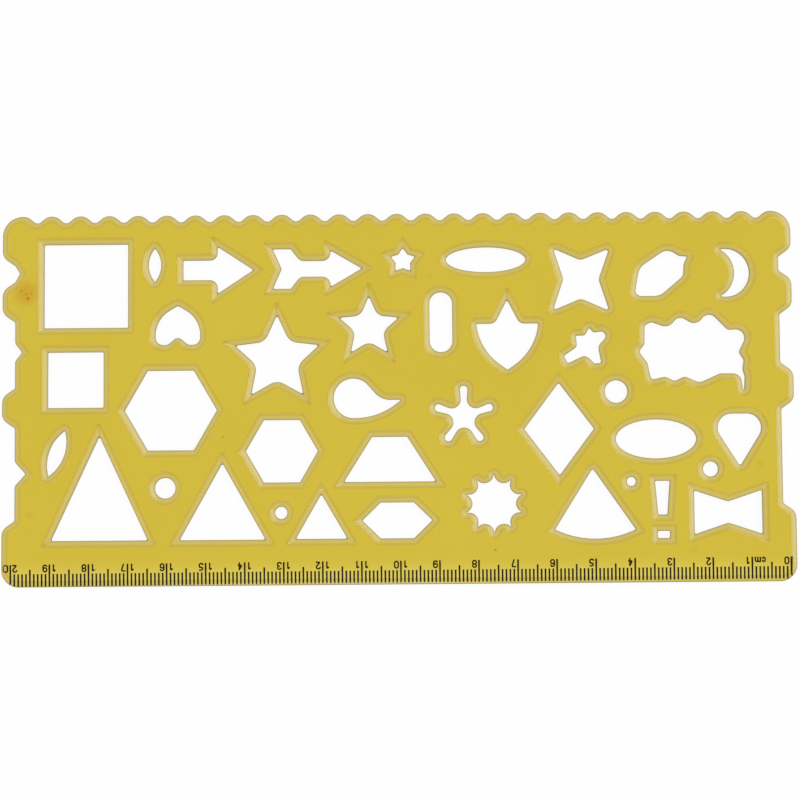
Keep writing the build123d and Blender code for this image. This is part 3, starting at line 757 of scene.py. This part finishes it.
def blend(source, output, base, other):
    """A colour mix from base to the other colour. The base is a colour or an earlier mix."""
    node = after(source, output, "ShaderNodeMix", {mix_to: other}, data_type="RGBA")
    if isinstance(base, tuple):
        node.inputs[mix_from].default_value = base
    else:
        join(base, mix_result, node, mix_from)
    return node


# %% [markdown]
# ## The colour of the plastic
# Clear plastic gets its colour in depth: light that crosses more of it comes out deeper yellow, so the
# thin slopes look paler than the flat. A tinted surface can't do that. The surface here is almost
# colourless, with faint flow marks from the mould, and the tint is in the volume, which swallows blue
# much faster than red. Only what stands steep is a little frosted, and it carries a painted amber glow
# in its colour, in place of the light that a cut edge glows with. The section's two marks paint shade
# into
# the colour: a dark line along the edge of the wall, and a darker crease.

# %% Start the plastic's surface
# painted glow: steep faces take an amber colour that stands in for the light a cut edge of tinted
# plastic glows with
painted_edge_glow_colour = (0.52, 0.31, 0.06, 1)
# painted shade: a near-black line along each cut wall and round its foot
painted_wall_shade = (0.16, 0.12, 0.12, 1)
# painted shade: a darker tone along the crease and the slope below it
painted_crease_shade = (0.62, 0.53, 0.24, 1)
plastic, tree, output = new_material("tinted_plastic")
place = add(tree, "ShaderNodeTexCoord")
surface = add(tree, "ShaderNodeBsdfPrincipled", {"IOR": 1.5, "Specular IOR Level": 0.5})
flow = after(place, "Object", "ShaderNodeTexNoise", {"Scale": 18.0, "Detail": 3.0, "Roughness": 0.6})
clear = blend(flow, "Fac", (0.93, 0.89, 0.78, 1), (1, 1, 1, 1))

facing = add(tree, "ShaderNodeNewGeometry")
facing_parts = after(facing, "Normal", "ShaderNodeSeparateXYZ")
levelness = after(facing_parts, "Z", "ShaderNodeMath", operation="ABSOLUTE")
upright = after(levelness, 0, "ShaderNodeMapRange", {"From Min": 0.995, "From Max": 0.3})
# steep faces blend to the painted amber edge glow
painted_edge_glow = blend(upright, "Result", clear, painted_edge_glow_colour)
frosted = after(upright, "Result", "ShaderNodeMapRange", {"To Min": 1.0, "To Max": 0.3})
join(frosted, "Result", surface, "Transmission Weight")

# the wall mark steers the painted shade of the wall line
wall = add(tree, "ShaderNodeAttribute", attribute_name="painted_wall_shade_mark")
wall_shaded = blend(wall, "Fac", painted_edge_glow, painted_wall_shade)
# the crease mark steers the painted crease shade
crease = add(tree, "ShaderNodeAttribute", attribute_name="painted_crease_shade_mark")
crease_shaded = blend(crease, "Fac", wall_shaded, painted_crease_shade)
print("steep faces turn:", painted_edge_glow_colour[:3])

# %% [markdown]
# ## Marks of the mould and of use
# Where the hot plastic ran into the mould, at the left end, it's burnt a little orange, with a few dark
# specks. Four faint pips show where pins pushed the plate out, and two more specks lie elsewhere. Each
# is a soft round spot, which a picture could hold as well, but not so sharply. Handling makes the gloss
# uneven, so a fine noise steers the roughness.

# %% Add the marks and finish the plastic
burnt = (0.85, 0.42, 0.2, 1)
speck = (0.25, 0.1, 0.04, 1)
pip = (0.8, 0.66, 0.4, 1)
# middle x and y in mm, reach in mm, strength and colour of each mark
moulding_marks = (
    (-95.8, 27.8, 4.6, 0.45, burnt), (-95.2, 26.4, 0.6, 0.8, speck), (-96.9, 28.4, 0.5, 0.6, speck),
    (-95.7, 27.5, 0.5, 0.5, speck), (-94.4, 27.7, 0.4, 0.5, speck), (24.6, -39.2, 0.5, 0.7, speck),
    (-44.9, -9.7, 0.45, 0.6, speck), (-94.5, -29.3, 1.3, 0.4, pip), (92.7, -17.5, 1.3, 0.4, pip),
    (75.6, -39.4, 1.3, 0.35, pip), (8.5, 31.6, 1.2, 0.35, pip))
full_strength_share = 0.25
marked = crease_shaded
for x, y, radius, strength, colour in moulding_marks:
    reach = after(place, "Object", "ShaderNodeVectorMath",
                  {1: (x * mm, y * mm, plate_thickness * mm)}, operation="DISTANCE")
    fade = after(reach, "Value", "ShaderNodeMapRange",
                 {"From Min": radius * mm, "From Max": radius * mm * full_strength_share,
                  "To Max": strength}, interpolation_type="SMOOTHSTEP")
    marked = blend(fade, "Result", marked, colour)
join(marked, mix_result, surface, "Base Color")

handled = after(place, "Object", "ShaderNodeTexNoise",
                {"Scale": 140.0, "Detail": 4.0, "Roughness": 0.7})
worn = after(handled, "Fac", "ShaderNodeMapRange",
             {"From Min": 0.35, "From Max": 0.7, "To Min": 0.03, "To Max": 0.09})
join(worn, "Result", surface, "Roughness")

tint_density = 1850.0
tint_colour = (0.885, 0.803, 0.0, 1)
tint = add(tree, "ShaderNodeVolumeAbsorption", {"Color": tint_colour, "Density": tint_density})
join(surface, "BSDF", output, "Surface")
join(tint, "Volume", output, "Volume")

plate_mesh.materials.append(plastic)
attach(plate, "root")
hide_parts("stencil_plate")
print("plate material:", plastic.name)

# %% [markdown]
# ## The ink
# The scale is screen-printed on the underside, so it is seen through the plastic. Printing ink is
# never quite even: a fine mottle makes it a little thinner in places. Its colour is a very dark brown
# grey, and its surface is matt where it faces the table.

# %% Make the ink
ink, tree, output = new_material("black_print")
place = add(tree, "ShaderNodeTexCoord")
mottle = after(place, "Object", "ShaderNodeTexNoise", {"Scale": 2500.0, "Detail": 2.0})
shade = blend(mottle, "Fac", (0.012, 0.007, 0.004, 1), (0.03, 0.019, 0.01, 1))
surface = add(tree, "ShaderNodeBsdfPrincipled", {"Roughness": 0.6, "Specular IOR Level": 0.3})
join(shade, mix_result, surface, "Base Color")
join(surface, "BSDF", output, "Surface")

for name in ("scale_numerals", "unit_letters"):
    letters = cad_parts[name]
    letters.data.materials.clear()
    letters.data.materials.append(ink)
    print("ink on:", name)

# %% [markdown]
# ## The ticks
# Two hundred and one ticks repeat at one millimetre, every fifth longer and every tenth longer still.
# Modelling them one by one would be slow, so one Geometry Nodes tree lays them out along a line. It is
# used three times, for the short, half and long ticks, with other inputs. Each tick is a tiny pad of
# ink with rounded corners, and a seeded draw makes it a hair narrower or shorter, as print does.

# %% The tree that lays out ticks
between_whole = 0.5
tick_corner_steps = 3
length_wobble_share = 0.2


def tick_tree():
    tree = bpy.data.node_groups.new("tick_row", "GeometryNodeTree")
    tree.interface.new_socket("Geometry", in_out="OUTPUT", socket_type="NodeSocketGeometry")
    inputs = {"Geometry": ("Geometry",), "Int": ("Count", "Every", "Left out", "Seed"),
              "Float": ("Pitch", "Width", "Length", "Depth", "Corner", "Wobble"),
              "Material": ("Ink",)}
    for kind, names in inputs.items():
        for name in names:
            tree.interface.new_socket(name, in_out="INPUT", socket_type="NodeSocket" + kind)
    given = add(tree, "NodeGroupInput")

    def math_node(operation, first, second):
        node = add(tree, "ShaderNodeMath", operation=operation)
        for socket, value in zip(node.inputs, (first, second)):
            if isinstance(value, bpy.types.NodeSocket):
                tree.links.new(value, socket)
            else:
                socket.default_value = value
        return node.outputs[0]

    def vector_of(axis, value, target, socket):
        """Feed a vector socket with a value on one axis."""
        vector = add(tree, "ShaderNodeCombineXYZ")
        tree.links.new(value, vector.inputs[axis])
        join(vector, 0, target, socket)
        return vector

    row = add(tree, "GeometryNodeMeshLine")
    join(given, "Count", row, "Count")
    vector_of("X", given.outputs["Pitch"], row, "Offset")
    index = add(tree, "GeometryNodeInputIndex").outputs[0]
    beat = math_node("FLOORED_MODULO", index, given.outputs["Every"])
    off_beat = math_node("GREATER_THAN", beat, between_whole)
    longer = math_node("FLOORED_MODULO", index, given.outputs["Left out"])
    taken = math_node("LESS_THAN", longer, between_whole)
    some_taken = math_node("LESS_THAN", given.outputs["Left out"], given.outputs["Count"])
    unwanted = math_node("MAXIMUM", off_beat, math_node("MULTIPLY", taken, some_taken))
    thinned = after(row, 0, "GeometryNodeDeleteGeometry", domain="POINT")
    tree.links.new(unwanted, thinned.inputs["Selection"])

    shape = add(tree, "GeometryNodeCurvePrimitiveQuadrilateral")
    join(given, "Width", shape, "Width")
    join(given, "Length", shape, "Height")
    eased = after(shape, 0, "GeometryNodeFilletCurve", mode="POLY")
    eased.inputs["Count"].default_value = tick_corner_steps
    join(given, "Corner", eased, "Radius")
    pad = after(eased, 0, "GeometryNodeFillCurve", mode="NGONS")
    raised = after(pad, 0, "GeometryNodeExtrudeMesh", mode="FACES")
    vector_of("Z", given.outputs["Depth"], raised, "Offset")
    closed = after(raised, 0, "GeometryNodeJoinGeometry")
    join(after(pad, 0, "GeometryNodeFlipFaces"), 0, closed, 0)
    merged = after(closed, 0, "GeometryNodeMergeByDistance")
    merged.inputs["Distance"].default_value = least_run * mm
    standing = after(merged, 0, "GeometryNodeTransform")
    vector_of("Y", math_node("MULTIPLY", given.outputs["Length"], 0.5), standing, "Translation")

    draw = add(tree, "FunctionNodeRandomValue", data_type="FLOAT_VECTOR")
    draw.inputs["Max"].default_value = (1, 1, 1)
    join(given, "Seed", draw, "Seed")
    smallest = vector_of("X", math_node("SUBTRACT", 1.0, given.outputs["Wobble"]), draw, "Min")
    smallest.inputs["Z"].default_value = 1.0
    length_wobble = math_node("MULTIPLY", given.outputs["Wobble"], length_wobble_share)
    tree.links.new(math_node("SUBTRACT", 1.0, length_wobble), smallest.inputs["Y"])
    placed = after(thinned, 0, "GeometryNodeInstanceOnPoints")
    join(standing, 0, placed, "Instance")
    join(draw, 0, placed, "Scale")
    realized = after(placed, 0, "GeometryNodeRealizeInstances")
    inked = after(realized, 0, "GeometryNodeSetMaterial")
    join(given, "Ink", inked, "Material")
    after(inked, 0, "NodeGroupOutput")
    return tree


row_tree = tick_tree()
print("tick tree nodes:", len(row_tree.nodes))

# %% [markdown]
# ## Print the scale
# The row starts at the zero on the right and runs left, because the scale is read from the other side
# of the table. The first and last ticks stand over the plate's rounded corners and are shorter at the
# foot, so they are trimmed after the tree has run. The row leans by a hair, as the print does.

# %% Lay out the three kinds of tick
tick_pitch = 1.0
tick_width = 0.46
tick_corner = 0.05
tick_wobble = 0.04
half_every = 5
long_every = 10
print_height = 0.04
print_margin = 0.1
scale_edge_gap = 0.5
scale_end_gap = 1.5
scale_far_gap = 2.0
print_lean = math.radians(0.15)
tick_count = int((plate_length - scale_end_gap - scale_far_gap) / tick_pitch) + 1
zero_x = half_length - scale_end_gap
middle_x = zero_x - (tick_count - 1) * tick_pitch / 2
no_step = 1000    # longer than the row, so that nothing is left out


def foot_lift(x):
    """How far a tick at x is cut short at its foot, to stay inside the plate's rounded corners."""
    beyond = abs(x) + tick_width / 2 + print_margin - (half_length - bottom_corner_radius)
    beyond = min(max(beyond, 0), bottom_corner_radius)
    corner_rise = bottom_corner_radius - math.sqrt(bottom_corner_radius ** 2 - beyond ** 2)
    return max(0, corner_rise + print_margin - scale_edge_gap - x * math.sin(print_lean))


def print_ticks(name, length, every, left_out, seed):
    holder = put_in_scene(name + "_row", bpy.data.meshes.new(name + "_row"))
    modifier = holder.modifiers.new("row", "NODES")
    modifier.node_group = row_tree
    values = {"Count": tick_count, "Every": every, "Left out": left_out, "Seed": seed,
              "Pitch": -tick_pitch * mm, "Width": tick_width * mm, "Length": length * mm,
              "Depth": print_height * mm, "Corner": tick_corner * mm, "Wobble": tick_wobble,
              "Ink": ink}
    for item in row_tree.interface.items_tree:
        if item.in_out == "INPUT" and item.name in values:
            modifier[item.identifier] = values[item.name]
    settled = holder.evaluated_get(bpy.context.evaluated_depsgraph_get())
    mesh = bpy.data.meshes.new_from_object(settled)
    bpy.data.objects.remove(holder)
    for vert in mesh.vertices:
        if vert.co.y < length * mm / 2:
            vert.co.y += foot_lift(zero_x + round(vert.co.x / mm / tick_pitch) * tick_pitch) * mm
    mesh.transform(Matrix.Translation(Vector((zero_x - middle_x, 0, 0)) * mm))
    mesh.transform(Matrix.Rotation(print_lean, 4, "Z"))
    mesh.transform(Matrix.Translation(Vector((middle_x, scale_edge_gap - half_height, 0)) * mm))
    ticks = put_in_scene(name + "_print", mesh)
    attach(ticks, "root")
    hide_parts(name)
    low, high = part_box(name)
    spread = [vert.co.x for vert in mesh.vertices]
    print(name, "faces", len(mesh.polygons), "x mm, made and solid:",
          [round(x / mm, 2) for x in (min(spread), max(spread), low.x, high.x)])


print_ticks("millimetre_ticks", length=3.2, every=1, left_out=half_every, seed=3)
print_ticks("half_centimetre_ticks", length=4.3, every=half_every, left_out=long_every, seed=5)
print_ticks("centimetre_ticks", length=5.6, every=long_every, left_out=no_step, seed=7)

# %% [markdown]
# ## The table
# The stencil lies on plain white paper that takes a faint shadow. It also gives out light to the
# camera's own rays, so that the background reads as clean white without more lamp on the object, and
# rays that come through or off the plastic see plain white.

# %% Lay the floor
floor_size = 3.0
floor_drop = 0.2
floor_bm = bmesh.new()
bmesh.ops.create_grid(floor_bm, x_segments=1, y_segments=1, size=floor_size / 2)
bmesh.ops.translate(floor_bm, verts=floor_bm.verts, vec=(0, 0, -floor_drop * mm))
floor_mesh = bpy.data.meshes.new("floor")
floor_bm.to_mesh(floor_mesh)
floor_bm.free()
floor = put_in_scene("floor", floor_mesh)

paper, tree, output = new_material("paper")
paper_white = (0.9, 0.9, 0.9, 1)
camera_glow = 0.92
rays = add(tree, "ShaderNodeLightPath")
lit = add(tree, "ShaderNodeBsdfDiffuse", {"Color": paper_white})
glow = add(tree, "ShaderNodeEmission", {"Color": (1, 1, 1, 1), "Strength": 1.0})
through = after(rays, "Is Glossy Ray", "ShaderNodeMath", operation="MAXIMUM")
join(rays, "Is Transmission Ray", through, 1)
from_camera = after(rays, "Is Camera Ray", "ShaderNodeMath", {1: camera_glow}, operation="MULTIPLY")
share = after(through, 0, "ShaderNodeMath", operation="MAXIMUM")
join(from_camera, 0, share, 1)
seen = after(share, 0, "ShaderNodeMixShader")
join(lit, 0, seen, 1)
join(glow, 0, seen, 2)
join(seen, 0, output, "Surface")
floor_mesh.materials.append(paper)
print("floor, mm below the stencil:", floor_drop)

# %% [markdown]
# ## The light
# Clear glossy plastic mirrors whatever is bright. The flat top would mirror a lamp that hangs straight
# above, and the slopes one that stands low at the side. So most of the light is a wide soft dome, dim
# overhead and brightest half way down. Its right side is brighter still, like a window, which the
# slopes mirror as a pale band. The camera itself sees plain white behind the table.

# %% Light the dome
zenith_strength = 0.2
dome_strength = 0.9
horizon_strength = 0.5
window_direction = Vector((0.76, 0.26, 0.6))
window_gain = 3.3
# height above the horizon as a share, and strength there
dome_stops = ((0.0, horizon_strength), (0.45, dome_strength), (0.72, dome_strength),
              (0.93, zenith_strength))

world = bpy.data.worlds.new("studio")
world.use_nodes = True
tree = world.node_tree
tree.nodes.clear()
direction = add(tree, "ShaderNodeTexCoord")
parts = after(direction, "Generated", "ShaderNodeSeparateXYZ")
heights = after(parts, "Z", "ShaderNodeValToRGB")
ramp = heights.color_ramp
ramp.interpolation = "EASE"
ramp.elements[-1].position = dome_stops[-1][0]
for position, strength in dome_stops[1:-1]:
    ramp.elements.new(position)
for stop, (position, strength) in zip(ramp.elements, dome_stops):
    stop.color = (strength, strength, strength, 1)
towards = after(direction, "Generated", "ShaderNodeVectorMath", {1: window_direction},
                operation="DOT_PRODUCT")
window = after(towards, "Value", "ShaderNodeMapRange",
               {"From Min": 0.72, "From Max": 1.0, "To Min": 1.0, "To Max": window_gain},
               interpolation_type="SMOOTHSTEP")
lit_side = after(heights, "Color", "ShaderNodeVectorMath", operation="SCALE")
join(window, "Result", lit_side, "Scale")
rays = add(tree, "ShaderNodeLightPath")
seen = after(rays, "Is Camera Ray", "ShaderNodeMix", {mix_to: (1, 1, 1, 1)}, data_type="RGBA")
join(lit_side, "Vector", seen, mix_from)
sky = after(seen, mix_result, "ShaderNodeBackground")
output = add(tree, "ShaderNodeOutputWorld")
join(sky, "Background", output, "Surface")
bpy.context.scene.world = world
print("dome strengths:", [stop.color[0] for stop in ramp.elements])

# %% [markdown]
# ## The lamps
# Three small weak lamps hang at a height that neither the flat top nor the slopes mirror, so they only
# draw thin lines on the rounded edges and give the plate its faint shadow. The strongest stands at the
# upper right.

# %% Hang the lamps
lamp_size = 0.3
lamp_distance = 1.1
lamp_height_angle = math.radians(62)
# name, direction in degrees, power in watts
lamps = (("key_lamp", 40, 0.8), ("left_lamp", 160, 0.5), ("back_lamp", 265, 0.5))

for name, azimuth, lamp_power in lamps:
    lamp_data = bpy.data.lights.new(name, "AREA")
    lamp_data.shape = "DISK"
    lamp_data.size = lamp_size
    lamp_data.energy = lamp_power
    lamp = put_in_scene(name, lamp_data)
    turn = math.radians(azimuth)
    lamp.location = Vector((math.cos(lamp_height_angle) * math.cos(turn),
                            math.cos(lamp_height_angle) * math.sin(turn),
                            math.sin(lamp_height_angle))) * lamp_distance
    lamp.rotation_euler = (-lamp.location).to_track_quat("-Z", "Y").to_euler()
    print(name, "mm:", [round(v / mm) for v in lamp.location])
bpy.context.scene.view_settings.view_transform = "Standard"
